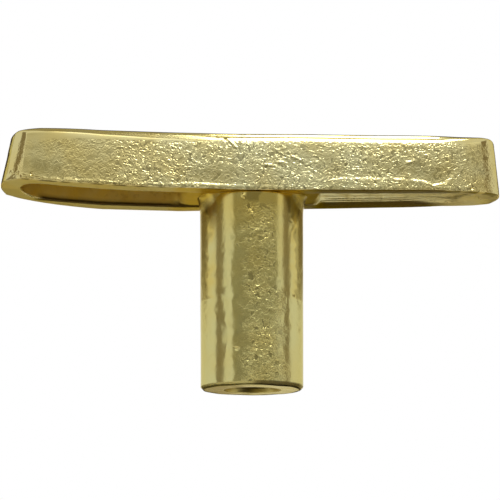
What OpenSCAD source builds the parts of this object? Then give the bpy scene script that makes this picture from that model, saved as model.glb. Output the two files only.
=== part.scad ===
// T-bar winding key for a clock: a hollow-backed crossbar on a round stem with a tapped end.
// The stem's open end stands on z = 0, +Z runs up the stem and X runs along the bar.

/* [Crossbar] */
// Length of the bar along its rim
bar_length = 25; // [21:0.5:40]
// Depth of the bar from front to back at its middle
bar_depth = 5.4; // [4.6:0.1:8]
// Height of the bar at its middle
bar_height = 3.05; // [2.8:0.05:6]
// How much higher the rim lies at the bar's ends than at its middle
rim_rise = 0.25; // [0:0.05:0.6]
// Length at each end over which the long sides curve in
taper_length = 5; // [4:0.25:6.5]
// How far each long side has curved in where it reaches the bar's end
taper_drop = 1.35; // [0.8:0.05:1.6]
// Lean of the outer walls, in degrees, that lets the casting leave its mould
draft = 5; // [0:0.5:8]
// Radius of the rounded edge round the top
top_round = 0.5; // [0.2:0.05:0.8]

/* [Pockets] */
// Thickness of the long walls at the rim
side_wall = 1.05; // [0.7:0.05:1.4]
// Thickness of the end walls at the rim
end_wall = 1; // [0.7:0.05:2]
// Thickness of metal left above the pockets
roof = 1.15; // [0.8:0.05:1.8]

/* [Stem] */
// Length of the stem from its open end to the bar's underside
stem_length = 9.45; // [8:0.05:20]
// Diameter of the stem at its open end
stem_end_d = 5.03; // [4:0.01:5.1]
// Diameter of the stem where it meets the bar
stem_root_d = 5.13; // [4.5:0.01:5.3]
// Chamfer round the open end
end_chamfer = 0.12; // [0.05:0.01:0.4]
// Diameter of the tenon that enters the bar
tenon_d = 3.2; // [2:0.1:4]
// Length of the tenon
tenon_length = 1.9; // [1:0.1:2.1]
// Radius of the solder fillet round the stem's root
fillet_radius = 0.95; // [0.3:0.05:1.5]
// Least solder left in front of the stem and behind it
fillet_lip = 0.1; // [0.05:0.01:0.12]

/* [Tapped hole] */
// Outside diameter of the arbor's thread
thread_d = 2.6; // [2:0.1:3.5]
// Pitch of that thread
thread_pitch = 0.45; // [0.35:0.05:0.6]
// Length of full thread in the hole
thread_length = 5.6; // [3:0.1:7]
// Diameter of the countersunk mouth
mouth_d = 2.75; // [2.65:0.05:3.8]

/* [Fits] */
// Radial gap between the tenon and its socket
tenon_gap = 0.02; // [0.01:0.01:0.05]
// Gap between the tenon's tip and the bottom of its socket
socket_gap = 0.1; // [0.05:0.05:0.3]
// Gap between the solder fillet and the stem
solder_gap = 0.01; // [0.01:0.01:0.03]

/* [Hidden] */
$fn = 180;

bar_top = stem_length + bar_height;
rim_end = stem_length + rim_rise;
web_half = stem_root_d / 2 + fillet_radius;
pocket_half = bar_depth / 2 - side_wall;
pocket_top = bar_top - roof;
pocket_end = bar_length / 2 - end_wall;
socket_depth = tenon_length + socket_gap;

// A 60 degree thread's bore is 1.0825 pitches smaller than its outside diameter
bore_r = (thread_d - 1.0825 * thread_pitch) / 2;
mouth_depth = mouth_d / 2 - bore_r;
drill_point_angle = 118;
drill_point_height = bore_r / tan(drill_point_angle / 2);

// The curved part of a long side is an arc that runs on smoothly from its straight part
taper_radius = (taper_length ^ 2 + taper_drop ^ 2) / (2 * taper_drop);
taper_centre_x = bar_length / 2 - taper_length;

// The bar's ends are as round as the bar is deep, and bar_length long at the raised rim
tip_radius = bar_depth / 2;
tip_centre_x = bar_length / 2 + rim_rise * tan(draft) - tip_radius;

// How far a tool reaches past the surface that it cuts
past = 1;

brass = "#b3a04d";
turned_brass = "#b8a552";
solder = "#a8923f";

// How far out the wall stands at height z when its rim stands out by reach
function wall_at(reach, z) = reach - (z - stem_length) * tan(draft);

// Half of an upright section through the bar: leaning wall, rounded top edge
module edge_section(reach) {
    round_z = bar_top - top_round;
    round_x = wall_at(reach, round_z) - top_round / cos(draft);
    low_z = stem_length - past;
    polygon([
        [0, low_z],
        [wall_at(reach, low_z), low_z],
        [round_x + top_round * cos(draft), round_z + top_round * sin(draft)],
        [round_x, bar_top],
        [0, bar_top],
    ]);
    translate([round_x, round_z]) circle(top_round);
}

// A length of bar with the same section on both sides
module straight_slab(reach, length) {
    rotate([90, 0, 90])
        linear_extrude(length, center = true)
            for (side = [0, 1])
                mirror([side, 0]) edge_section(reach);
}

module wheel(reach) {
    rotate_extrude() edge_section(reach);
}

// A slab whose ends are wheels of the given radius
module round_ended_slab(reach, centre_x, end_radius) {
    straight_slab(reach, 2 * centre_x);
    for (side = [-1, 1])
        translate([side * centre_x, 0, 0]) wheel(end_radius);
}

// The bar before it is hollowed: what lies inside its back, its front and its two tips
module bar_blank() {
    side_centre_y = taper_radius - bar_depth / 2;
    intersection() {
        translate([0, -side_centre_y, 0])
            round_ended_slab(taper_radius, taper_centre_x, taper_radius);
        translate([0, side_centre_y, 0])
            round_ended_slab(taper_radius, taper_centre_x, taper_radius);
        round_ended_slab(bar_depth, tip_centre_x, tip_radius);
    }
}

// What lies below the rim: flat under the solid middle, then rising to each end
module below_rim() {
    low_z = stem_length - 2 * past;
    slope = rim_rise / (bar_length / 2 - web_half);
    far_x = bar_length / 2 + past;
    far_z = rim_end + slope * past;
    rotate([90, 0, 0])
        linear_extrude(2 * bar_depth, center = true)
            polygon([
                [-far_x, low_z],
                [far_x, low_z],
                [far_x, far_z],
                [web_half, stem_length],
                [-web_half, stem_length],
                [-far_x, far_z],
            ]);
}

// One pocket: square where it meets the solid middle, round at its outer end
module pocket() {
    round_x = pocket_end - pocket_half;
    translate([0, 0, stem_length - past])
        linear_extrude(pocket_top - stem_length + past) {
            translate([web_half, -pocket_half])
                square([round_x - web_half, 2 * pocket_half]);
            translate([round_x, 0]) circle(pocket_half);
        }
}

module t_bar() {
    color(brass)
        difference() {
            bar_blank();
            below_rim();
            for (side = [0, 1])
                mirror([side, 0, 0]) pocket();
            translate([0, 0, stem_length - past])
                cylinder(h = socket_depth + past, r = tenon_d / 2 + tenon_gap);
        }
}

// The stem's outside, from its chamfered open end to its shoulder
module barrel() {
    cylinder(h = end_chamfer, r1 = stem_end_d / 2 - end_chamfer, r2 = stem_end_d / 2);
    translate([0, 0, end_chamfer])
        cylinder(h = stem_length - end_chamfer, r1 = stem_end_d / 2, r2 = stem_root_d / 2);
}

module tapped_hole() {
    translate([0, 0, -past])
        cylinder(h = mouth_depth + past + thread_length, r = bore_r);
    translate([0, 0, mouth_depth + thread_length])
        cylinder(h = drill_point_height, r1 = bore_r, r2 = 0);
    cylinder(h = mouth_depth, r1 = mouth_d / 2, r2 = bore_r);
}

module stem() {
    color(turned_brass)
        difference() {
            union() {
                barrel();
                translate([0, 0, stem_length])
                    cylinder(h = tenon_length, r = tenon_d / 2);
            }
            tapped_hole();
        }
}

// A concave ring in the corner between stem and bar, dressed flush with the bar's long sides
module solder_fillet() {
    foot_z = stem_length - fillet_radius;
    root_r = stem_root_d / 2 + solder_gap;
    half_depth = max(bar_depth / 2, root_r + fillet_lip);
    color(solder)
        intersection() {
            rotate_extrude()
                difference() {
                    translate([root_r, foot_z])
                        square(fillet_radius);
                    translate([root_r + fillet_radius, foot_z])
                        circle(fillet_radius);
                }
            translate([-web_half - past, -half_depth, foot_z - past])
                cube([2 * (web_half + past), 2 * half_depth, fillet_radius + past]);
        }
}

t_bar();
stem();
solder_fillet();
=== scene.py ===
import math
from types import SimpleNamespace

import bmesh
import bpy
from mathutils import Matrix, Vector, noise


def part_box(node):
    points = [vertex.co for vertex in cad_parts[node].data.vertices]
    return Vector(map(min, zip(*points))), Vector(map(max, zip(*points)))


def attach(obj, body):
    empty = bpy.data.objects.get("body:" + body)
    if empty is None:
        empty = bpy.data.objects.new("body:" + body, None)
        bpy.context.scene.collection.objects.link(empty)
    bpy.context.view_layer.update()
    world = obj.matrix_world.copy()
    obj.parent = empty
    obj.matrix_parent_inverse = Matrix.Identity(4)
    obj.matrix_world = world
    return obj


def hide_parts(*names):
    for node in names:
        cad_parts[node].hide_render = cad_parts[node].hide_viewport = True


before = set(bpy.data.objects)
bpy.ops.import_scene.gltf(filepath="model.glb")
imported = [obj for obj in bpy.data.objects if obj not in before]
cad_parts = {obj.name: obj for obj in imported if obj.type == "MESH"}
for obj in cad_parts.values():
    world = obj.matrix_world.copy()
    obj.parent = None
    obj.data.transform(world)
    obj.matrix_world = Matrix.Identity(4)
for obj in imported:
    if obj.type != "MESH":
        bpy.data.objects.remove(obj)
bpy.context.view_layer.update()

# T-bar winding key: cast brass crossbar with a hollow underside, turned stem with a tapped end,
# and the solder that joins them. Shapes are worked out in millimetres and made metres at the end.

millimetre = 0.001
barRim, barTop = (corner[2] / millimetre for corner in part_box("t_bar"))
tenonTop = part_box("stem")[1][2] / millimetre


def smoothStep(low, high, value):  # 0 at low and 1 at high, also where low is the larger
    t = min(max((value - low) / (high - low), 0), 1)
    return t * t * (3 - 2 * t)


def meshObject(name, shape):  # turns the millimetres into metres
    bmesh.ops.scale(shape, vec=(millimetre,) * 3, verts=shape.verts[:])
    mesh = bpy.data.meshes.new(name)
    shape.to_mesh(mesh)
    shape.free()
    mesh.shade_smooth()
    piece = bpy.data.objects.new(name, mesh)
    bpy.context.collection.objects.link(piece)
    return piece


def subdivided(shape, levels):
    mesh = bpy.data.meshes.new("cage")
    shape.to_mesh(mesh)
    shape.free()
    cage = bpy.data.objects.new("cage", mesh)
    bpy.context.collection.objects.link(cage)
    smoothing = cage.modifiers.new("smoothing", "SUBSURF")
    smoothing.levels = smoothing.render_levels = levels
    finished = cage.evaluated_get(bpy.context.evaluated_depsgraph_get())
    fine = bmesh.new()
    fine.from_mesh(finished.to_mesh())
    bpy.data.objects.remove(cage)
    bpy.data.meshes.remove(mesh)
    fine.normal_update()
    return fine


def along(points, x):  # straight from each point to the next
    for (x0, y0), (x1, y1) in zip(points, points[1:]):
        if x <= x1:
            break
    t = min(max((x - x0) / (x1 - x0), 0), 1)
    return y0 + (y1 - y0) * t


def noiseAlong(x, width, lane):  # every lane is a pattern of its own
    return noise.noise(Vector((x / width, *lane)))


def bevelEdges(shape, edges, width, segments, clamp=True):
    bmesh.ops.bevel(shape, geom=edges, offset=width, offset_type="OFFSET", affect="EDGES",
                    segments=segments, profile=0.5, material=-1, clamp_overlap=clamp)


skinMarks = ("peel", "golden", "paintedShade", "dull")  # what the brass shader reads at each vertex


def skinLayers(shape):
    return [shape.verts.layers.float.new(mark) for mark in skinMarks]


def orangePeel(place, peel, skin):  # how far the lumps and pits of the skin stand out
    lump = (skin["wideShare"] * noise.noise(place / skin["wideWidth"])
            + noise.noise(place / skin["lumpWidth"] + Vector(skin["lumpShift"])))
    nearest = noise.voronoi(place / skin["pitWidth"] + Vector(skin["pitShift"]))[0][0]
    away = skin["lumpHeight"] * peel * lump
    return away - skin["pitHeight"] * peel * smoothStep(*skin["pitEdge"], nearest)


# Camera, fitted to the photo's outlines
view = {
    "place": (-10.755, -107.09, -11.57),  # mm, a little to the left and below the stem's end
    "yaw": 5.69,  # degrees, as pitch and roll
    "pitch": 9.775,
    "roll": -0.107,
    "lens": 158.7,
    "sensor": 36,
    "clip": (0.001, 20),  # metres
}
cameraData = bpy.data.cameras.new("camera")
cameraData.lens = view["lens"]
cameraData.sensor_width = view["sensor"]
cameraData.clip_start, cameraData.clip_end = view["clip"]
camera = bpy.data.objects.new("camera", cameraData)
bpy.context.collection.objects.link(camera)
yaw, pitch = math.radians(view["yaw"]), math.radians(view["pitch"])
sight = Vector((math.cos(pitch) * math.sin(yaw), math.cos(pitch) * math.cos(yaw), math.sin(pitch)))
camera.matrix_world = (
    Matrix.Translation(Vector(view["place"]) * millimetre)
    @ sight.to_track_quat("-Z", "Y").to_matrix().to_4x4()
    @ Matrix.Rotation(math.radians(view["roll"]), 4, "Z")
)
bpy.context.scene.camera = camera
print("camera placed")


# Crossbar
bar = {
    "halfDepth": 2.7,
    "taperStart": 7.5,
    "taperRadius": 9.934,
    "tipCentre": 9.822,
    "draft": 5,  # degrees
    "pocketTop": 11.35,
    "webRecess": 0.08,
    "socketTop": 11.45,
    "topRound": 0.52,
    "rimRound": 0.09,
    "mouthRound": 0.09,
    "floorRound": 0.3,
    "sharpFrom": 0.3,  # radians between two faces, from which their edge gets a bevel
    "sideBand": 0.35,  # an edge closer than this to the bar's side is one of the outside
    "wallLoops": (10.45, 11.4),
    "pocketColumn": 4,  # the first column in a pocket
    "socketColumn": 2,  # the last column in the tenon's socket
    "topShare": (0.96, 0.75),  # how far out the top's inner points lie, of those under them
    "levels": 2,
    # the casting isn't true: heights of its front rim, rear rim and top along its length
    "frontRim": ((-12.4, 10.12), (-11.4, 10.03), (-10.5, 9.86), (-9.5, 9.73), (-7.5, 9.6),
                 (-5.7, 9.53), (-3.3, 9.49), (-0.1, 9.45), (3, 9.52), (7, 9.57), (10.6, 9.65),
                 (12.4, 9.7)),
    "rearRim": ((-12.4, 9.7), (-11.4, 9.64), (-9.5, 9.52), (-7.4, 9.39), (-3.4, 9.35), (3.8, 9.6),
                (6.9, 9.71), (10, 9.8), (12.4, 9.74)),
    "topLine": ((-12, 12.57), (-10.5, 12.6), (-7.6, 12.47), (-4.7, 12.44), (-0.8, 12.43),
                (2.2, 12.48), (6.2, 12.5), (10.2, 12.58), (11.3, 12.65), (12, 12.66)),
    "frontRound": ((-12, 0.28), (-10, 0.35), (-6, 0.5), (-2, 0.7), (9, 0.72), (11, 0.45), (12, 0.28)),
    "backRound": (0.5, 0.3),  # over most of the bar's length, and at its ends
    "backRoundTurns": (10.5, 11.8),
    "leftLean": 0.1,  # extra lean of the left end, mm per mm of height
    "leftShift": 0.04,
    "leftFrom": (-10.5, -12.3),
    # a flow mark left by the metal runs along the front: the skin below it stands proud
    "ledge": ((-11.6, 10.3), (-10.98, 10.13), (-10.26, 9.94), (-9.54, 9.85), (-7.47, 9.77),
              (-4.72, 9.7), (-3.27, 9.8), (-1.57, 9.72), (1.26, 9.67), (2.1, 9.8), (2.83, 10.01),
              (4.31, 10.16), (7.02, 10.17), (7.77, 10.14), (8.27, 10.07), (8.72, 9.92),
              (9.08, 9.96), (9.39, 10.12), (9.65, 10.39)),
    "ledgeHeight": ((-11.6, 0.01), (-11, 0.028), (-9.8, 0.02), (-9, 0.006), (-4.2, 0.006),
                    (-3.4, 0.02), (-1.8, 0.02), (-1, 0.006), (0.9, 0.003), (2.8, 0.004),
                    (3.6, 0.014), (5.6, 0.018), (7.8, 0.018), (8.3, 0.024), (9.4, 0.024),
                    (9.65, 0.01), (9.9, 0)),
    "ledgeWander": 0.03,
    "ledgeSlope": 0.04,  # half the height over which the skin steps back
    "ledgeFade": (1, 0.2),  # above the mark, where the skin has come out again and where it starts to
    # how rough the skin is along the bar, 0 smooth to 1 pitted
    "peelAlong": ((-12.5, 0.15), (-10.8, 0.2), (-9, 0.5), (-6.5, 0.85), (-4, 1), (5, 1), (8, 0.9),
                  (10.5, 0.8), (12.5, 0.4)),
    "peelPatch": 2.2,  # width of its rougher and smoother patches
    "skin": {"wideShare": 0.6, "wideWidth": 0.8, "lumpWidth": 0.23, "lumpShift": (7, 3, 1),
             "lumpHeight": 0.007, "pitWidth": 0.27, "pitShift": (0, 0, 0), "pitEdge": (0.42, 0.12),
             "pitHeight": 0.004},
    "dressed": (2.6, 0.2),  # from this far out, the share of the skin's lumps that still stands proud
    # the rear pocket mouth is worn on the right: how much higher its inner edge lies than the rim
    "rearWear": ((3.45, 0), (3.7, 0.28), (7, 0.28), (9.5, 0.34), (11.4, 0.3), (12.4, 0)),
    "wearReach": 0.7,  # above the rim
    "wearInset": (0.1, 0.95),
    "wearLean": 0.6,  # how far the worn edge is pushed back, mm per mm that it is lifted
    # how golden the outer skin is along the bar, 0 where the plating is palest
    "goldenAlong": ((-12, 0.35), (-7, 0.35), (-3, 0.15), (1, 0), (4, 0), (7, 0.2), (12, 0.35)),
    "beadHeight": 0.045,  # broken bead along the front's lower edge
    "beadMiddle": 0.14,  # above the rim
    "beadHalf": (0.1, 0.03),  # half its height, at its foot and on its top
    "beadAlong": ((-12.4, 0.3), (-11.5, 1), (-10.4, 0.6), (-9.4, 1), (3, 1), (4, 0.2), (12.4, 0.3)),
    "pits": ((-11.9, 10.35), (-11.6, 10.3), (-10.9, 10.2), (10.7, 9.85)),
    "pitDepth": 0.05,
    "pitRadius": (0.1, 0.03),  # at its mouth and at its bottom
    "scratches": (((-1.45, 12.1), (-1.0, 11.6)), ((1.72, 11.21), (2.15, 11.0)),
                  ((0.97, 10.89), (1.35, 10.88)), ((0.35, 10.73), (0.7, 10.73)),
                  ((7.4, 10.95), (7.8, 11.1))),
    "burrHeight": 0.03,  # of the metal that a scratch throws up
    "burrHalf": (0.09, 0.02),
    # where each part of the skin begins and where it is all there
    "hollowInset": (0.42, 0.55),  # from the bar's side
    "hollowBelow": (12, 11.8),
    "hollowAbove": (0.02, 0.12),  # above the rim
    "facesDown": (0.5, 0.85),
    "facesFront": (0.4, 0.8),
    "facesUp": (0.12, 0.32),
}
sideRow = 3  # rows run from -3 at the front to 3 at the back
straightColumns = (2.5, 3.515, 4.4, 5.3, 6.2, 7.1, 8.0, 8.95, 9.85)
bar["columns"] = (  # inner points of each column from the middle out, then where it meets the side
    [((0, 0), (0, 0.81), (0, 1.62), 0),
     ((0.7, 0), (0.66, 0.66), (0.62, 1.497), 0.8),
     ((1.62, 0), (1.497, 0.62), (1.146, 1.146), 1.6)]  # round the tenon's socket
    + [((x, 0), (x, 0.8), (x, 1.65), x) for x in straightColumns]
    + [((10.6, 0), (10.56, 0.76), (10.48, 1.52), 10.7),
       ((11.5, 0), (11.374, 0.631), (11.017, 1.167), 11.35),  # the pocket's round end
       ((12.52, 0), (12.40, 0.80), (12.22, 1.25), 11.95)]  # the bar's tip
)
tipColumn = len(bar["columns"]) - 1


def sideOutline(x):  # a point of the bar's side, and which way it faces
    past = max(x - bar["taperStart"], 0)
    y = bar["halfDepth"] - bar["taperRadius"] + math.sqrt(bar["taperRadius"] ** 2 - past ** 2)
    facing = Vector((past, math.sqrt(bar["taperRadius"] ** 2 - past ** 2))).normalized()
    return Vector((x, y)), facing


def planPoint(column, row, inset):
    entry = bar["columns"][abs(column)]
    if abs(row) == sideRow:
        place, outward = sideOutline(entry[sideRow])
        if abs(column) == tipColumn:
            outward = (outward + Vector((place.x - bar["tipCentre"], place.y)).normalized()) / 2
        place = place - outward * inset
    else:
        place = Vector(entry[abs(row)])
        if abs(column) == tipColumn:
            place = place - Vector((place.x - bar["tipCentre"], place.y)).normalized() * inset
    return math.copysign(place.x, column), math.copysign(place.y, row)


def barCage():
    shape = bmesh.new()
    columnOf = shape.verts.layers.int.new("column")
    rowOf = shape.verts.layers.int.new("row")
    bmesh.ops.create_grid(shape, x_segments=2 * tipColumn, y_segments=2 * sideRow, size=1)
    lean = (barTop - barRim) * math.tan(math.radians(bar["draft"]))
    for vertex in shape.verts:
        column, row = round(vertex.co.x * tipColumn), round(vertex.co.y * sideRow)
        vertex[columnOf], vertex[rowOf] = column, row
        x, y = planPoint(column, row, lean)
        if abs(row) < sideRow and abs(column) < tipColumn:
            x, y = x * bar["topShare"][0], y * bar["topShare"][1]
        vertex.co = (x, y, barTop)
    grown = bmesh.ops.extrude_face_region(shape, geom=shape.faces[:])["geom"]
    for vertex in (part for part in grown if isinstance(part, bmesh.types.BMVert)):
        vertex.co = (*planPoint(vertex[columnOf], vertex[rowOf], 0), barRim)

    def sink(lowest, highest, height):  # pushes the underside up between two columns
        region = [face for face in shape.faces
                  if all(abs(vertex[rowOf]) < sideRow and vertex.co.z < barTop - bar["topRound"]
                         and lowest <= abs(vertex[columnOf]) <= highest for vertex in face.verts)
                  and abs(face.normal.z) > 0.9]
        deeper = bmesh.ops.extrude_face_region(shape, geom=region)["geom"]
        bmesh.ops.delete(shape, geom=region, context="FACES")
        for vertex in (part for part in deeper if isinstance(part, bmesh.types.BMVert)):
            vertex.co.z = height
        shape.normal_update()

    shape.normal_update()
    sink(0, tipColumn - 1, barRim + bar["webRecess"])
    sink(bar["pocketColumn"], tipColumn - 1, bar["pocketTop"])
    sink(0, bar["socketColumn"], bar["socketTop"])
    for height in bar["wallLoops"]:
        bmesh.ops.bisect_plane(shape, geom=shape.verts[:] + shape.edges[:] + shape.faces[:],
                               plane_co=(0, 0, height), plane_no=(0, 0, 1))
    bmesh.ops.recalc_face_normals(shape, faces=shape.faces[:])
    return shape


def shapeBar():
    shape = barCage()
    columnOf, rowOf = shape.verts.layers.int["column"], shape.verts.layers.int["row"]
    tipX = bar["columns"][-1][sideRow]

    def sharp(height, outer):  # sharp edges at one height, on the outside or round a hollow
        found = []
        for edge in shape.edges:
            if len(edge.link_faces) != 2 or edge.calc_face_angle(0) < bar["sharpFrom"]:
                continue
            middle = (edge.verts[0].co + edge.verts[1].co) / 2
            side = sideOutline(min(abs(middle.x), tipX))[0].y
            onSide = abs(middle.y) > side - bar["sideBand"] or abs(middle.x) > tipX - 0.15
            level = all(abs(vertex.co.z - height) < 0.01 for vertex in edge.verts)
            if level and onSide == outer:
                found.append(edge)
        return found

    corners = [edge for edge in shape.edges
               if all(abs(vertex[columnOf]) == tipColumn and abs(vertex[rowOf]) == sideRow
                      for vertex in edge.verts)
               and abs(edge.verts[0].co.z - edge.verts[1].co.z) > 0.1]
    bevelEdges(shape, corners + sharp(barTop, True), bar["topRound"], 3, clamp=False)
    bevelEdges(shape, sharp(barRim, True), bar["rimRound"], 2)
    bevelEdges(shape, sharp(barRim, False), bar["mouthRound"], 2)
    bevelEdges(shape, sharp(bar["pocketTop"], False), bar["floorRound"], 2)
    print("crossbar cage", len(shape.faces), "faces",
          sum(not edge.is_manifold for edge in shape.edges), "open edges")
    fine = subdivided(shape, bar["levels"])

    def splitFaces(chosen):  # new points follow the curve between the old ones
        edges = [edge for edge in fine.edges if all(chosen(face) for face in edge.link_faces)]
        bmesh.ops.subdivide_edges(fine, edges=edges, cuts=1, smooth=1, smooth_falloff="LINEAR",
                                  use_grid_fill=True)
        fine.normal_update()

    def outerWall(face):
        outward = face.normal.xy.dot(face.calc_center_median().xy.normalized())
        return abs(face.normal.z) < 0.95 and outward > 0.05

    def frontWall(face):
        return face.normal.y < -0.5 and face.calc_center_median().y < -1.4

    # the skin's lumps need small faces on the outside, and the smallest on the front
    splitFaces(outerWall)
    splitFaces(frontWall)
    print("crossbar", len(fine.faces), "faces", len(fine.calc_loop_triangles()), "triangles")
    warpBar(fine)
    roughenBar(fine)
    return fine


def rimHeight(x, y):
    rear = min(max((y + bar["halfDepth"]) / (2 * bar["halfDepth"]), 0), 1)
    return along(bar["frontRim"], x) * (1 - rear) + along(bar["rearRim"], x) * rear


def insetFromWall(x, y):
    fromSide = sideOutline(abs(x))[0].y - abs(y)
    fromTip = bar["halfDepth"] - math.hypot(max(abs(x) - bar["tipCentre"], 0), y)
    return min(fromSide, fromTip) if abs(x) > bar["tipCentre"] else fromSide


def wornBy(x, y):
    return along(bar["rearWear"], x) * smoothStep(*bar["wearInset"], insetFromWall(x, y)) * (y > 0)


def warpBar(shape):
    for vertex in shape.verts:
        x, y, z = vertex.co
        up = (z - barRim) / (barTop - barRim)
        vertex.co.z += (rimHeight(x, y) - barRim) * (1 - up) + (along(bar["topLine"], x) - barTop) * up
        leaning = bar["leftShift"] + bar["leftLean"] * max(z - barRim, 0)
        vertex.co.x += smoothStep(*bar["leftFrom"], x) * leaning
        if z < barRim + bar["wearReach"]:
            wear = wornBy(x, y) * smoothStep(barRim + bar["wearReach"], barRim + 0.1, z)
            vertex.co.z += wear
            atMouth = smoothStep(1.95, 1.75, y) * smoothStep(1.2, 1.5, y)
            vertex.co.y += bar["wearLean"] * wear * atMouth
    shape.normal_update()


def barSpot(vertex):  # where on the bar a vertex lies
    x, y, z = vertex.co
    spot = SimpleNamespace(place=vertex.co, facing=vertex.normal)
    spot.inset = insetFromWall(x, y)
    spot.aboveRim = z - rimHeight(x, y) - wornBy(x, y)
    spot.hollow = (smoothStep(*bar["hollowInset"], spot.inset) * smoothStep(*bar["hollowBelow"], z)
                   * smoothStep(*bar["hollowAbove"], spot.aboveRim))
    spot.under = smoothStep(*bar["facesDown"], -spot.facing.z)
    spot.front = smoothStep(*bar["facesFront"], -spot.facing.y) * (1 - spot.hollow)
    spot.broken = noiseAlong(x, 0.5, (y, 4))  # breaks up what runs along the rims
    # the worn lip of the right pocket, rubbed pale in places
    spot.lip = smoothStep(0.4, 0.2, spot.aboveRim) * (y > 1.2)
    spot.lip *= smoothStep(3.5, 3.7, x) * smoothStep(8.5, 6.5, x)
    spot.lip *= smoothStep(-0.35, 0, spot.broken + 0.5 * smoothStep(4.6, 4.1, x)) * spot.hollow
    return spot


def barPeel(spot):  # 0 smooth to 1 pitted
    x, z = spot.place.x, spot.place.z
    peel = along(bar["peelAlong"], x) * (1 - 0.6 * spot.hollow) * (1 - 0.4 * spot.under)
    # the top is smooth, and on the left its smoothness comes down over the edge
    leftEdge = smoothStep(-1, -3, x) * smoothStep(11.8, 12.1, z)
    peel *= 1 - smoothStep(*bar["facesUp"], spot.facing.z + 0.3 * leftEdge)
    return peel * (0.9 + 0.5 * noise.noise(spot.place / bar["peelPatch"]))


def frontMarks(spot):  # flow mark, bead, pits and scratches
    x, z = spot.place.x, spot.place.z
    ledge = along(bar["ledge"], x) + bar["ledgeWander"] * noiseAlong(x, 0.4, (5, 2))
    drop = along(bar["ledgeHeight"], x) * (1.4 + 1.8 * noiseAlong(x, 0.45, (1, 8)))
    fadeOut, fadeFrom = bar["ledgeFade"]
    setBack = smoothStep(ledge - bar["ledgeSlope"], ledge + bar["ledgeSlope"], z)
    setBack *= smoothStep(ledge + fadeOut, ledge + fadeFrom, z)
    away = -max(drop, 0) * setBack
    bead = max(0.35 + 1.1 * noiseAlong(x, 0.3, (3, 3)), 0) * along(bar["beadAlong"], x)
    bead *= smoothStep(*bar["beadHalf"], abs(spot.aboveRim - bar["beadMiddle"]))
    away += bar["beadHeight"] * bead
    for pitX, pitZ in bar["pits"]:
        away -= bar["pitDepth"] * smoothStep(*bar["pitRadius"], math.hypot(x - pitX, z - pitZ))
    for start, end in bar["scratches"]:
        run = Vector(end) - Vector(start)
        past = Vector((x, z)) - Vector(start)
        t = min(max(past.dot(run) / run.length_squared, 0), 1)
        away += bar["burrHeight"] * smoothStep(*bar["burrHalf"], (past - run * t).length)
    return away * spot.front


def topEdgeMove(spot):  # the bevel is as round all the way, and the casting's edge isn't
    x, y, z = spot.place
    most, least = bar["backRound"]
    backRound = most - (most - least) * smoothStep(*bar["backRoundTurns"], abs(x))
    rounding = along(bar["frontRound"], x) if y < 0 else backRound
    onEdge = 2 * max(spot.facing.z, 0) * spot.facing.xy.length * smoothStep(11.3, 11.7, z)
    # 0.414 is how far a square corner stands out past its rounding, for a radius of 1
    return 0.414 * (bar["topRound"] - rounding) * onEdge * onEdge


def barGolden(spot, peel):  # how far the pale plating gives way to golden brass
    x = spot.place.x
    inPocket = spot.hollow * (1 - spot.lip) * (0.85 - 0.7 * smoothStep(2.5, 4, x))
    roundStem = 0.85 * smoothStep(4.6, 3.6, abs(x)) * spot.under
    outside = (1 - spot.hollow) * max(0.3 * (1 - peel), along(bar["goldenAlong"], x))
    return max(inPocket, 0.3 * spot.under, roundStem, outside)


# painted shade on the bar: dark colour where its creases, rims and undersides lie in shade
def barPaintedShade(spot):
    x, y = spot.place.x, spot.place.y
    # painted shade in the crease along the rear of the pockets' mouths
    creaseShade = smoothStep(0.2, 0.12, abs(spot.aboveRim - 0.06)) * smoothStep(11, 10.6, abs(x))
    creaseShade *= smoothStep(1.4, 1.55, y) * smoothStep(1.76, 1.7, y)
    creaseShade *= 0.95 if x < 0 else 0.3 + 0.5 * smoothStep(0, 0.3, spot.broken)
    # painted shade on the underside of the front rim's outer edge, wider on the right
    width = 0.1 + 0.35 * smoothStep(1, 4, x)
    rimEdgeShade = smoothStep(width + 0.08, width - 0.04, spot.inset)
    rimEdgeShade *= smoothStep(0.3, 0.6, -spot.facing.z) * (y < 0)
    rimEdgeShade *= smoothStep(-0.15, 0.25, spot.broken + 0.3 * smoothStep(-4, 0, x))
    # painted shade on the rims' undersides on the right, and thinly all along the rear one
    rimShade = (0.75 if y > 0 else 1) * smoothStep(1.8, 3.2, x) * smoothStep(11, 9, x) + 0.2 * (y > 0)
    rimShade *= spot.under * (1 - spot.hollow)
    # and painted shade under the solid middle, to the right of the stem
    middle = 0.7* spot.under * smoothStep(1.8, 2.6, x) * smoothStep(3.7, 3.3, x)
    return min(max(creaseShade, 0.8 * rimEdgeShade, rimShade, middle), 1)


def roughenBar(shape):
    peelOf, goldenOf, paintedShadeOf, dullOf = skinLayers(shape)
    dressedFrom, dressedShare = bar["dressed"]
    moves = []
    for vertex in shape.verts:
        spot = barSpot(vertex)
        peel = barPeel(spot)
        away = orangePeel(spot.place, peel, bar["skin"])
        if spot.front > 0:
            away += frontMarks(spot)
        if abs(spot.place.y) > dressedFrom and away > 0:
            away *= dressedShare
        moves.append(spot.facing * (away + topEdgeMove(spot)))
        vertex[peelOf] = min(max(peel, 0), 1)
        vertex[goldenOf] = barGolden(spot, peel)
        vertex[paintedShadeOf] = barPaintedShade(spot)
        vertex[dullOf] = max(spot.hollow * (1 - 0.9 * spot.lip), 0.3 * spot.under)
    for vertex, move in zip(shape.verts, moves):
        vertex.co += move
    shape.normal_update()


barPiece = meshObject("castCrossbar", shapeBar())


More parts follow.
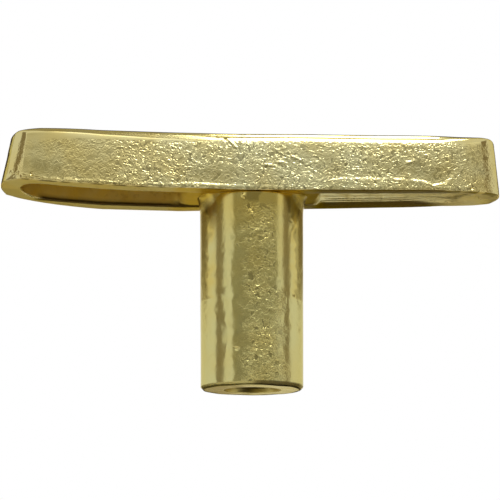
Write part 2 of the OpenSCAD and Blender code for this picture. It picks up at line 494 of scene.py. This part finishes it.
# Stem
stem = {
    "endRadius": 2.515,
    "rootRadius": 2.565,
    "chamfer": 0.13,
    "tenonRadius": 1.6,
    "boreRadius": 1.0564,
    "drillPoint": 118,  # degrees
    "threadRadius": 1.3,
    "threadPitch": 0.45,
    "threadLength": 5.6,
    "threadRings": 8,  # per turn of the thread
    "mouthRadius": 1.375,
    "steps": 240,
    "ringStep": 0.06,
    "skin": {"wideShare": 0.5, "wideWidth": 0.7, "lumpWidth": 0.24, "lumpShift": (2, 9, 4),
             "lumpHeight": 0.012, "pitWidth": 0.28, "pitShift": (5, 5, 5), "pitEdge": (0.42, 0.12),
             "pitHeight": 0.008},
    "rippleHeight": 0.012,
    "rippleSize": (9, 4),  # degrees round the stem, mm along it
    "rippleEnds": (9, 8.1),  # it dies out below the solder
    "endFaceHeight": 0.018,
    "endFaceWidth": 0.7,
    "frontPatch": (-25, -6, 8, 32),  # degrees from the front: pits start, are full, thin out and end
    "frontPatchGrows": (12, 4.9, 4.3),  # degrees wider below, from one height down to the other
    "rearPatch": (120, 150),  # degrees from the front: pits start and are full
    "patchTop": (8.95, 8.7),
    "pits": ((-21, 1.75, 0.1, 0.07), (45.5, 4.45, 0.09, 0.07), (12.5, 2.1, 0.07, 0.07),
             (-15.5, 9.2, 0.18, -0.06)),  # turn, height, size, depth; the last one stands proud
    "photoTurn": -5.7,  # degrees from the front at which the photo was taken
    "tarnishHeight": 4.33,  # painted shade: the sides are darker and more golden above this
    "tarnishBlur": 0.04,
    "tarnishRear": (130, 100),  # degrees from the photo's side, none to all of it
    "tarnishGolden": (44, 56),
    "tarnishGrime": (54, 60),
}


def spunShape(profile, steps):
    shape = bmesh.new()
    points = [shape.verts.new((r, 0, z)) for r, z in profile]
    for first, second in zip(points, points[1:]):
        shape.edges.new((first, second))
    bmesh.ops.spin(shape, geom=shape.verts[:] + shape.edges[:], cent=(0, 0, 0), axis=(0, 0, 1),
                   angle=2 * math.pi, steps=steps, use_merge=True)
    bmesh.ops.remove_doubles(shape, verts=shape.verts[:], dist=0.0005)
    bmesh.ops.recalc_face_normals(shape, faces=shape.faces[:])
    return shape


def rungs(first, last, count):  # evenly spaced points from after the first to the last
    return [(first[0] + (last[0] - first[0]) * i / count, first[1] + (last[1] - first[1]) * i / count)
            for i in range(1, count + 1)]


def cutThread(shape, lowest, highest):
    bore = stem["boreRadius"]
    for vertex in shape.verts:
        r = vertex.co.xy.length
        if abs(r - bore) < 0.01 and lowest < vertex.co.z < highest:
            around = math.atan2(vertex.co.y, vertex.co.x) / (2 * math.pi)
            turn = (vertex.co.z / stem["threadPitch"] - around) % 1
            groove = min(max(1.4 - abs(turn - 0.5) * 4.4, 0), 1)  # flat bottom, sloping sides
            reach = bore + groove * (stem["threadRadius"] - bore)
            vertex.co.xy = vertex.co.xy * (reach / r)


def shapeStem():
    bore, tenon = stem["boreRadius"], stem["tenonRadius"]
    mouthDepth = stem["mouthRadius"] - bore
    threadTop = mouthDepth + stem["threadLength"]
    drillTip = threadTop + bore / math.tan(math.radians(stem["drillPoint"] / 2))
    endFlat, side = (stem["endRadius"] - stem["chamfer"], 0), (stem["endRadius"], stem["chamfer"])
    rings = round(stem["threadLength"] * stem["threadRings"] / stem["threadPitch"])
    profile = [(0, drillTip), (bore, threadTop)]
    profile += rungs((bore, threadTop), (bore, mouthDepth), rings)
    profile += rungs((bore, mouthDepth), (stem["mouthRadius"], 0), 4)
    profile += rungs((stem["mouthRadius"], 0), endFlat, 12)
    profile += rungs(endFlat, side, 2)
    profile += rungs(side, (stem["rootRadius"], barRim), round(barRim / stem["ringStep"]))
    profile += [(tenon, barRim), (tenon, tenonTop), (0, tenonTop)]
    shape = spunShape(profile, stem["steps"])
    cutThread(shape, mouthDepth - 0.001, threadTop - 0.01)
    return shape


def stemSpot(vertex):  # where on the stem a vertex lies
    x, y, z = vertex.co
    spot = SimpleNamespace(place=vertex.co, r=vertex.co.xy.length)
    spot.outside = smoothStep(2.2, 2.45, spot.r) * smoothStep(0.02, 0.2, z)
    spot.endFace = smoothStep(0.1, 0.02, z) * smoothStep(1.2, 1.5, spot.r)
    # degrees from the front, with some waver so that no patch has a straight edge
    spot.turn = math.degrees(math.atan2(x, -y)) + 7 * noise.noise(Vector((x, y, z / 0.35)))
    spot.turn += 8 * noise.noise(Vector((x / 0.5, y / 0.5, z / 0.6 + 20)))
    spot.fromPhoto = abs(spot.turn - stem["photoTurn"])
    low, high = stem["tarnishHeight"] - stem["tarnishBlur"], stem["tarnishHeight"] + stem["tarnishBlur"]
    spot.tarnish = smoothStep(low, high, z) * spot.outside
    spot.tarnish *= smoothStep(*stem["tarnishRear"], spot.fromPhoto)
    return spot


def stemPeel(spot):
    x, z = spot.place.x, spot.place.z
    start, full, fullEnd, end = stem["frontPatch"]
    growth, growFrom, growTo = stem["frontPatchGrows"]
    wide = growth * smoothStep(growFrom, growTo, z)
    frontPatch = smoothStep(start, full, spot.turn) * smoothStep(end + wide, fullEnd + wide, spot.turn)
    rearPatch = 0.8 * smoothStep(*stem["rearPatch"], abs(spot.turn))
    belowSolder = smoothStep(*stem["patchTop"], z - 0.03 * x * x)
    peel = spot.outside * max(frontPatch, rearPatch, 0.08) * belowSolder
    return peel * (0.85 + 0.6 * noise.noise(spot.place / 1.1))


def stemMarks(spot):  # ripple along the side, an uneven end face, and single pits
    z = spot.place.z
    degreesWide, longWidth = stem["rippleSize"]
    ripple = noise.noise(Vector((spot.turn / degreesWide, z / longWidth, 3)))
    away = stem["rippleHeight"] * spot.outside * ripple * smoothStep(*stem["rippleEnds"], z)
    uneven = noise.noise(spot.place / stem["endFaceWidth"] + Vector((1, 4, 6)))
    away += stem["endFaceHeight"] * spot.endFace * uneven
    for pitTurn, pitZ, pitR, depth in stem["pits"]:
        across = (spot.turn - pitTurn) * math.radians(stem["endRadius"])
        gap = math.hypot(across, z - pitZ)
        away -= depth * spot.outside * smoothStep(pitR, pitR * 0.3, gap)
    return away


def inHole(spot, outer, inner):  # the hole and its mouth, but not the tenon far above them
    return smoothStep(outer, inner, spot.r) * (spot.place.z < 8)


def stemGolden(spot):
    z = spot.place.z
    upwards = (0.05 + 0.1 * smoothStep(3, 6, z) + 0.3 * smoothStep(7, 9.3, z)) * spot.outside
    # the painted shade on the sides also turns them more golden
    sideShade = 0.25 * spot.tarnish * smoothStep(*stem["tarnishGolden"], spot.fromPhoto)
    return max(upwards + sideShade, 0.5 * inHole(spot, 1.5, 1.3))


def stemPaintedShade(spot):
    z, turn = spot.place.z, spot.turn
    # a painted dark reflection along the end's right front edge
    edgeReflection = smoothStep(-12, 5, turn) * smoothStep(85, 60, turn) * smoothStep(0.16, 0.1, abs(z - 0.08))
    edgeReflection *= 0.8 * smoothStep(2.25, 2.35, spot.r)
    # painted shade on the sides above their line
    sideShade = 0.35 * spot.tarnish * smoothStep(*stem["tarnishGrime"], spot.fromPhoto)
    # painted shade under the bar, on the front
    frontShade = 0.4 * smoothStep(8.85, 9.05, z) * smoothStep(-12, -9, turn) * smoothStep(10, 5, turn)
    # the tapped hole's inside is darkened too: painted shade
    return max(edgeReflection, 0.5 * inHole(spot, 1.36, 1.25), sideShade, frontShade)


def roughenStem(shape):
    peelOf, goldenOf, paintedShadeOf, dullOf = skinLayers(shape)
    shape.normal_update()
    moves = []
    for vertex in shape.verts:
        spot = stemSpot(vertex)
        peel = stemPeel(spot)
        moves.append(vertex.normal * (orangePeel(spot.place, peel, stem["skin"]) + stemMarks(spot)))
        vertex[peelOf] = min(max(peel, 0), 1)
        vertex[goldenOf] = stemGolden(spot)
        vertex[paintedShadeOf] = stemPaintedShade(spot)
        vertex[dullOf] = 0.3 * smoothStep(1.5, 1.35, spot.r)
    for vertex, move in zip(shape.verts, moves):
        vertex.co += move
    return shape


stemPiece = meshObject("turnedStem", roughenStem(shapeStem()))
print("stem made")


# Solder fillet
fillet = {
    "height": 0.95,
    "reach": 0.42,
    "innerRadius": 2.3,
    "rootRadius": 2.557,  # a little inside the stem's side, so that it grows out without an edge
    "webTop": 0.3,  # how far it reaches above the rim, into the recessed middle of the bar
    "halfDepth": 2.58,
    "flareFrom": (25, 90),  # degrees from the front or back over which the fillet grows
    "hug": 1.1,  # 1 is a round hollow, more keeps it close to the stem
    "skirt": 0.3,  # how far it runs down the stem below its foot
    "skirtSlope": 0.016,  # the skirt's lower end lies this much inside the stem's side
    "tuck": 0.04,  # how far it draws into the stem at the front and back
    "underRim": (1.9, 2.3),  # off the middle, where its top drops from the web to the rims
    "rimOverlap": 0.03,
    "steps": 240,
    "arcSteps": 14,
    "peel": 0.1,
    "waveHeight": 0.008,
    "waveWidth": 0.9,
    "flareSkin": (2.56, 2.64),  # radii between which the stem's colour gives way to the solder's
    "golden": (0.3, 0.1, 0.6),  # all over, more towards the bar, and more on the flare
    "paintedShade": (0.15, 0.7),  # painted shade on the flare, left and right
}


def shapeFillet():
    root, reach, innerRadius = fillet["rootRadius"], fillet["reach"], fillet["innerRadius"]
    foot, top = barRim - fillet["height"], barRim + fillet["webTop"]
    turns = [math.pi / 2 * i / fillet["arcSteps"] for i in range(fillet["arcSteps"] + 1)]
    arc = [(root + reach * (1 - math.cos(turn)) ** fillet["hug"], foot + (top - foot) * math.sin(turn))
           for turn in turns]
    start = (innerRadius, foot - fillet["skirt"])
    profile = [start] + rungs((root - fillet["skirtSlope"], start[1]), arc[0], 4)[:-1] + arc
    profile += [(innerRadius, top), start]
    shape = spunShape(profile, fillet["steps"])
    for vertex in shape.verts:
        r = vertex.co.xy.length
        side = math.degrees(math.atan2(abs(vertex.co.x), abs(vertex.co.y)))
        room = min(fillet["halfDepth"] * r / max(abs(vertex.co.y), 0.001) - root, reach)
        share = smoothStep(*fillet["flareFrom"], side)
        if r > innerRadius + 0.1:
            flare = max(r - root, 0)
            radius = r - flare + flare * room * share / reach - fillet["tuck"] * (1 - share) ** 4
            vertex.co.xy = vertex.co.xy * (radius / r)
        if vertex.co.z > barRim + 0.01:
            drop = fillet["webTop"] - fillet["rimOverlap"]
            vertex.co.z -= drop * smoothStep(*fillet["underRim"], abs(vertex.co.y))
    return shape


def roughenFillet(shape):
    peelOf, goldenOf, paintedShadeOf, dullOf = skinLayers(shape)
    foot = barRim - fillet["height"]
    allOver, towardsBar, onFlare = fillet["golden"]
    shape.normal_update()
    for vertex in shape.verts:
        rise = smoothStep(foot + 0.2, foot + 0.8, vertex.co.z)
        wave = noise.noise(vertex.co / fillet["waveWidth"])
        vertex.co += vertex.normal * fillet["waveHeight"] * rise * wave
        vertex[peelOf] = fillet["peel"]
        flare = smoothStep(*fillet["flareSkin"], vertex.co.xy.length)
        vertex[goldenOf] = allOver + towardsBar * smoothStep(7, 9.3, vertex.co.z) + onFlare * flare
        # painted shade in a dark line along the top, under the bar's front rim
        underFrontRimShade = smoothStep(barRim - 0.08, barRim - 0.02, vertex.co.z) * (vertex.co.y < -2.2)
        vertex[paintedShadeOf] = max(0.8 * underFrontRimShade, fillet["paintedShade"][vertex.co.x > 0] * flare)
    return shape


filletPiece = meshObject("solderedFillet", roughenFillet(shapeFillet()))
print("fillet made")


# Materials
def linearColour(code):
    parts = [int(code[i:i + 2], 16) / 255 for i in (1, 3, 5)]
    return [part / 12.92 if part <= 0.04045 else ((part + 0.055) / 1.055) ** 2.4 for part in parts] + [1]


def addNode(tree, kind, inputs=None, **settings):
    node = tree.nodes.new(kind)
    for name, value in settings.items():
        setattr(node, name, value)
    for name, value in (inputs or {}).items():
        if isinstance(value, bpy.types.NodeSocket):
            tree.links.new(value, node.inputs[name])
        else:
            node.inputs[name].default_value = value
    return node


def newMaterial(name):
    material = bpy.data.materials.new(name)
    material.use_nodes = True
    material.node_tree.nodes.clear()
    return material, material.node_tree


def brassMaterial(name, settings):
    material, tree = newMaterial(name)
    place = addNode(tree, "ShaderNodeTexCoord").outputs["Object"]
    peel, golden, paintedShade, dull = (
        addNode(tree, "ShaderNodeAttribute", attribute_name=mark).outputs["Fac"] for mark in skinMarks)
    mottle = addNode(tree, "ShaderNodeTexNoise", {
        "Vector": place, "Scale": 1 / (settings["mottleWidth"] * millimetre), "Detail": 3.0})
    grain = addNode(tree, "ShaderNodeTexNoise", {
        "Vector": place, "Scale": 1 / (settings["grainWidth"] * millimetre), "Detail": 1.5,
        "Roughness": 0.5, "Distortion": 0.7})
    # raised squiggles run where the grain crosses its middle value
    swing = addNode(tree, "ShaderNodeMath", {0: grain.outputs["Fac"], 1: 0.5}, operation="SUBTRACT")
    swing = addNode(tree, "ShaderNodeMath", {0: swing.outputs[0]}, operation="ABSOLUTE")
    squiggle = addNode(tree, "ShaderNodeMapRange", {
        "Value": swing.outputs[0], "From Max": settings["squiggleWidth"], "To Min": 1.0,
        "To Max": 0.0}, interpolation_type="SMOOTHSTEP")
    bump = addNode(tree, "ShaderNodeBump", {
        "Height": squiggle.outputs["Result"], "Distance": settings["grainHeight"] * millimetre,
        "Strength": peel})
    # the pits between them are darkened, partly as grime and partly as painted shade, and so is every
    # place with the painted shade mark
    pitFrom, pitTo = settings["pitRange"]
    pit = addNode(tree, "ShaderNodeMapRange", {
        "Value": grain.outputs["Fac"], "From Min": pitFrom, "From Max": pitTo,
        "To Max": settings["pitShade"]})
    pit = addNode(tree, "ShaderNodeMath", {0: pit.outputs["Result"], 1: peel}, operation="MULTIPLY")
    dark = addNode(tree, "ShaderNodeMath", {0: pit.outputs[0], 1: paintedShade}, operation="MAXIMUM")
    paler, warmer = settings["mottleSwing"]
    warm = addNode(tree, "ShaderNodeMapRange", {
        "Value": mottle.outputs["Fac"], "From Min": 0.35, "From Max": 0.65, "To Min": paler,
        "To Max": warmer})
    tint = addNode(tree, "ShaderNodeMath", {0: golden, 1: warm.outputs["Result"]},
                   operation="ADD", use_clamp=True)
    clean = addNode(tree, "ShaderNodeMix", {
        "Factor": tint.outputs[0], "A": linearColour(settings["colour"]),
        "B": linearColour(settings["goldenColour"])}, data_type="RGBA")
    colour = addNode(tree, "ShaderNodeMix", {
        "Factor": dark.outputs[0], "A": clean.outputs["Result"],
        "B": linearColour(settings["grimeAndShadeColour"])}, data_type="RGBA")
    smooth, pitted = settings["roughness"]
    gloss = addNode(tree, "ShaderNodeMapRange", {"Value": peel, "To Min": smooth, "To Max": pitted})
    rough = addNode(tree, "ShaderNodeMix", {
        "Factor": dull, "A": gloss.outputs["Result"], "B": settings["dullRoughness"]})
    shader = addNode(tree, "ShaderNodeBsdfPrincipled", {
        "Base Color": colour.outputs["Result"], "Metallic": 1.0,
        "Specular Tint": linearColour(settings["grazingColour"]),
        "Roughness": rough.outputs["Result"], "Normal": bump.outputs["Normal"]})
    addNode(tree, "ShaderNodeOutputMaterial", {"Surface": shader.outputs["BSDF"]})
    return material


# Cast brass, bright plated: smooth places mirror the studio in pale greenish gold, the skin of the
# casting breaks that up into short bright squiggles with dark between them, and the unplated
# hollow is deep gold and dull. The real grain is about 0.15 mm wide. It is drawn 0.22 mm wide,
# because a finer one doesn't show in the render.
castBrass = {
    "colour": "#c8c396",
    "goldenColour": "#c8aa42",
    # dark colour of the grime in the pits and of the painted shade
    "grimeAndShadeColour": "#3a2a0c",
    "grazingColour": "#ded2a0",  # in reflections seen along the surface
    "roughness": (0.1, 0.26),  # where the skin is smooth, and where it is pitted
    "dullRoughness": 0.65,
    "grainWidth": 0.22,  # this and the next in mm
    "grainHeight": 0.011,
    "squiggleWidth": 0.14,  # of the grain's swing to either side
    "pitRange": (0.42, 0.32),  # the grain's low values, from no darkening to the most
    "pitShade": 0.45,
    "mottleWidth": 1.4,  # mm
    "mottleSwing": (-0.1, 0.12),  # paler and more golden clouds in the plating
}
# Turned and plated brass: a yellower sheen, a little softer, that stretches along the barrel
turnedBrass = {**castBrass, "colour": "#c2bb80", "grazingColour": "#efe8c8", "roughness": (0.18, 0.26)}
# Solder under the same plating: it runs on from the stem without a seam, warmer where it spreads
solderBrass = turnedBrass

for piece, node, slot, name, settings in (
    (barPiece, "t_bar", "cast_brass", "castBrass", castBrass),
    (stemPiece, "stem", "turned_brass", "turnedBrass", turnedBrass),
    (filletPiece, "solder_fillet", "solder", "solderBrass", solderBrass),
):
    piece.data.materials.append(brassMaterial(name, settings))
    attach(piece, "root")
    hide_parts(node)


# Studio
studio = {
    "floorHeight": -0.03,
    "floorHole": 2.36,  # under the stem, so that light reaches the tapped hole
    "floorReach": 400,
    "floorFade": (24, 62),  # how far out the floor starts to fade, and where it is gone
    "floorColour": "#e4ddce",
    "worldOnMatte": 0.2,  # the world's strength on the floor, where the camera and reflections see 1
    "softbox": {"place": (38.5, -39.5, 150), "size": (55, 131), "turn": 2.7, "power": 0.27},
    "cardRadius": 150,
    "cardSteps": 12,
    # only reflections see the cards: name, colours at the bottom and the top, degrees from the
    # front where it starts and ends, heights of its bottom and top, strength
    "ringCards": (
        ("frontCardLowest", "#4a4434", "#5c5646", -90, 90, -150, -30),
        ("frontCardLow", "#5c5646", "#bdb9a6", -38, 54, -30, 46),
        ("frontCardHigh", "#9a9888", "#ffffff", -62, 62, 46, 125, 1.3),
        ("frontCardLeft", "#a8a288", "#a8a288", -47, -38, -60, 46),
        ("leftFlagLow", "#9c907a", "#9c907a", -91, -71, -60, 46),
        ("leftFlagHigh", "#9c907a", "#9c907a", -90, -72, 46, 120),
        ("rightFlagLow", "#9c907a", "#9c907a", 68, 87, -60, 46),
        ("rightFlagHigh", "#9c907a", "#9c907a", 66, 86, 46, 120),
        ("rearLeftFlag", "#9c907a", "#9c907a", -158, -123, 27.6, 46),
        ("rearRightFlag", "#9c907a", "#9c907a", 120, 154, 27.6, 46),
        ("rearTopFlag", "#544a3a", "#544a3a", 150, 210, 40, 225),
        ("rearTopFade", "#544a3a", "#d8d2bc", 150, 210, 225, 262),
        ("rearLowLeftCard", "#b5a888", "#b5a888", 174.6, 250, -120, 0),
        ("rearLowRingCard", "#eee6c8", "#eee6c8", 171.6, 174.6, -120, 0),
        ("rearLowMiddleCard", "#5c5038", "#5c5038", 161, 171.6, -120, 0),
        ("rearLowRightCard", "#b8ac8c", "#b8ac8c", 110, 161, -120, 0),
    ),
    # name, colour, from left to right, from front to back, height, strength
    "levelCards": (
        ("leftCeiling", "#b8b29c", (-90, 11), (-125, 60), 150),
        ("leftCeilingFront", "#ffffff", (-90, 11), (-170, -125), 150, 2.2),
        ("underLeftCard", "#9a9068", (-90, -4), (-150, 90), -150),
        ("underRightCard", "#3a3220", (-4, 90), (-150, 90), -150),
    ),
}


def cardMaterial(name, lowColour, highColour, lowest, highest, strength=1):
    material, tree = newMaterial(name)
    place = addNode(tree, "ShaderNodeTexCoord").outputs["Object"]
    height = addNode(tree, "ShaderNodeSeparateXYZ", {"Vector": place}).outputs["Z"]
    share = addNode(tree, "ShaderNodeMapRange", {
        "Value": height, "From Min": lowest * millimetre, "From Max": highest * millimetre})
    shade = addNode(tree, "ShaderNodeMix", {
        "Factor": share.outputs["Result"], "A": linearColour(lowColour),
        "B": linearColour(highColour)}, data_type="RGBA")
    glow = addNode(tree, "ShaderNodeEmission", {"Color": shade.outputs["Result"], "Strength": strength})
    addNode(tree, "ShaderNodeOutputMaterial", {"Surface": glow.outputs["Emission"]})
    return material


def hangCard(name, shape, material):  # only reflections see it
    card = meshObject(name, shape)
    card.data.materials.append(material)
    card.visible_camera = card.visible_diffuse = card.visible_shadow = False
    card.visible_transmission = False


def ringCard(name, lowColour, highColour, turnFrom, turnTo, lowest, highest, strength=1):
    shape = bmesh.new()
    turn = math.radians(turnFrom)
    x, y = studio["cardRadius"] * math.sin(turn), -studio["cardRadius"] * math.cos(turn)
    ends = [shape.verts.new((x, y, z)) for z in (lowest, highest)]
    edge = shape.edges.new(ends)
    bmesh.ops.spin(shape, geom=ends + [edge], cent=(0, 0, 0), axis=(0, 0, 1),
                   angle=math.radians(turnTo - turnFrom), steps=studio["cardSteps"])
    hangCard(name, shape, cardMaterial(name, lowColour, highColour, lowest, highest, strength))


def levelCard(name, colour, sideways, fore, height, strength=1):  # of one colour all over
    shape = bmesh.new()
    bmesh.ops.create_grid(shape, x_segments=1, y_segments=1, size=0.5)
    bmesh.ops.scale(shape, vec=(sideways[1] - sideways[0], fore[1] - fore[0], 1), verts=shape.verts[:])
    bmesh.ops.translate(shape, vec=(sum(sideways) / 2, sum(fore) / 2, height), verts=shape.verts[:])
    hangCard(name, shape, cardMaterial(name, colour, colour, height - 1, height, strength))


def hangWorld():
    world = bpy.data.worlds.new("studioWhite")
    bpy.context.scene.world = world
    world.use_nodes = True
    tree = world.node_tree
    tree.nodes.clear()
    path = addNode(tree, "ShaderNodeLightPath")
    seen = addNode(tree, "ShaderNodeMath", {
        0: path.outputs["Is Camera Ray"], 1: path.outputs["Is Glossy Ray"]}, operation="MAXIMUM")
    seen = addNode(tree, "ShaderNodeMath", {
        0: seen.outputs[0], 1: path.outputs["Is Transmission Ray"]}, operation="MAXIMUM")
    level = addNode(tree, "ShaderNodeMapRange", {
        "Value": seen.outputs[0], "To Min": studio["worldOnMatte"], "To Max": 1.0})
    white = addNode(tree, "ShaderNodeBackground", {
        "Strength": level.outputs["Result"], "Color": (1, 1, 1, 1)})
    addNode(tree, "ShaderNodeOutputWorld", {"Surface": white.outputs["Background"]})


def matteFloor():  # pale matte board: it takes a soft shadow, and from below it isn't there
    material, tree = newMaterial("paleFloor")
    place = addNode(tree, "ShaderNodeTexCoord").outputs["Object"]
    reachOut = addNode(tree, "ShaderNodeVectorMath", {0: place}, operation="LENGTH")
    fadeFrom, fadeTo = (reach * millimetre for reach in studio["floorFade"])
    fade = addNode(tree, "ShaderNodeMapRange", {
        "Value": reachOut.outputs["Value"], "From Min": fadeFrom, "From Max": fadeTo},
        interpolation_type="SMOOTHSTEP")
    underneath = addNode(tree, "ShaderNodeNewGeometry").outputs["Backfacing"]
    clear = addNode(tree, "ShaderNodeMath", {0: fade.outputs["Result"], 1: underneath},
                    operation="MAXIMUM")
    matte = addNode(tree, "ShaderNodeBsdfDiffuse", {"Color": linearColour(studio["floorColour"])})
    seeThrough = addNode(tree, "ShaderNodeBsdfTransparent")
    mixed = addNode(tree, "ShaderNodeMixShader", {
        0: clear.outputs[0], 1: matte.outputs["BSDF"], 2: seeThrough.outputs["BSDF"]})
    addNode(tree, "ShaderNodeOutputMaterial", {"Surface": mixed.outputs["Shader"]})
    return material


def layFloor():
    edges = [(reach, studio["floorHeight"]) for reach in (studio["floorHole"], studio["floorReach"])]
    shape = spunShape(edges, 64)
    if shape.faces[:][0].normal.z < 0:
        bmesh.ops.reverse_faces(shape, faces=shape.faces[:])
    floor = meshObject("floor", shape)
    floor.data.materials.append(matteFloor())


def hangSoftbox():
    softbox = studio["softbox"]
    lampData = bpy.data.lights.new("overheadSoftbox", "AREA")
    lampData.shape = "RECTANGLE"
    lampData.size, lampData.size_y = (side * millimetre for side in softbox["size"])
    lampData.energy = softbox["power"]
    lamp = bpy.data.objects.new("overheadSoftbox", lampData)
    lamp.location = Vector(softbox["place"]) * millimetre
    lamp.rotation_euler.z = math.radians(softbox["turn"])
    lamp.visible_camera = False
    bpy.context.collection.objects.link(lamp)


hangWorld()
layFloor()
for card in studio["ringCards"]:
    ringCard(*card)
for card in studio["levelCards"]:
    levelCard(*card)
hangSoftbox()
print("studio lit")

bpy.context.scene.view_settings.view_transform = "Standard"
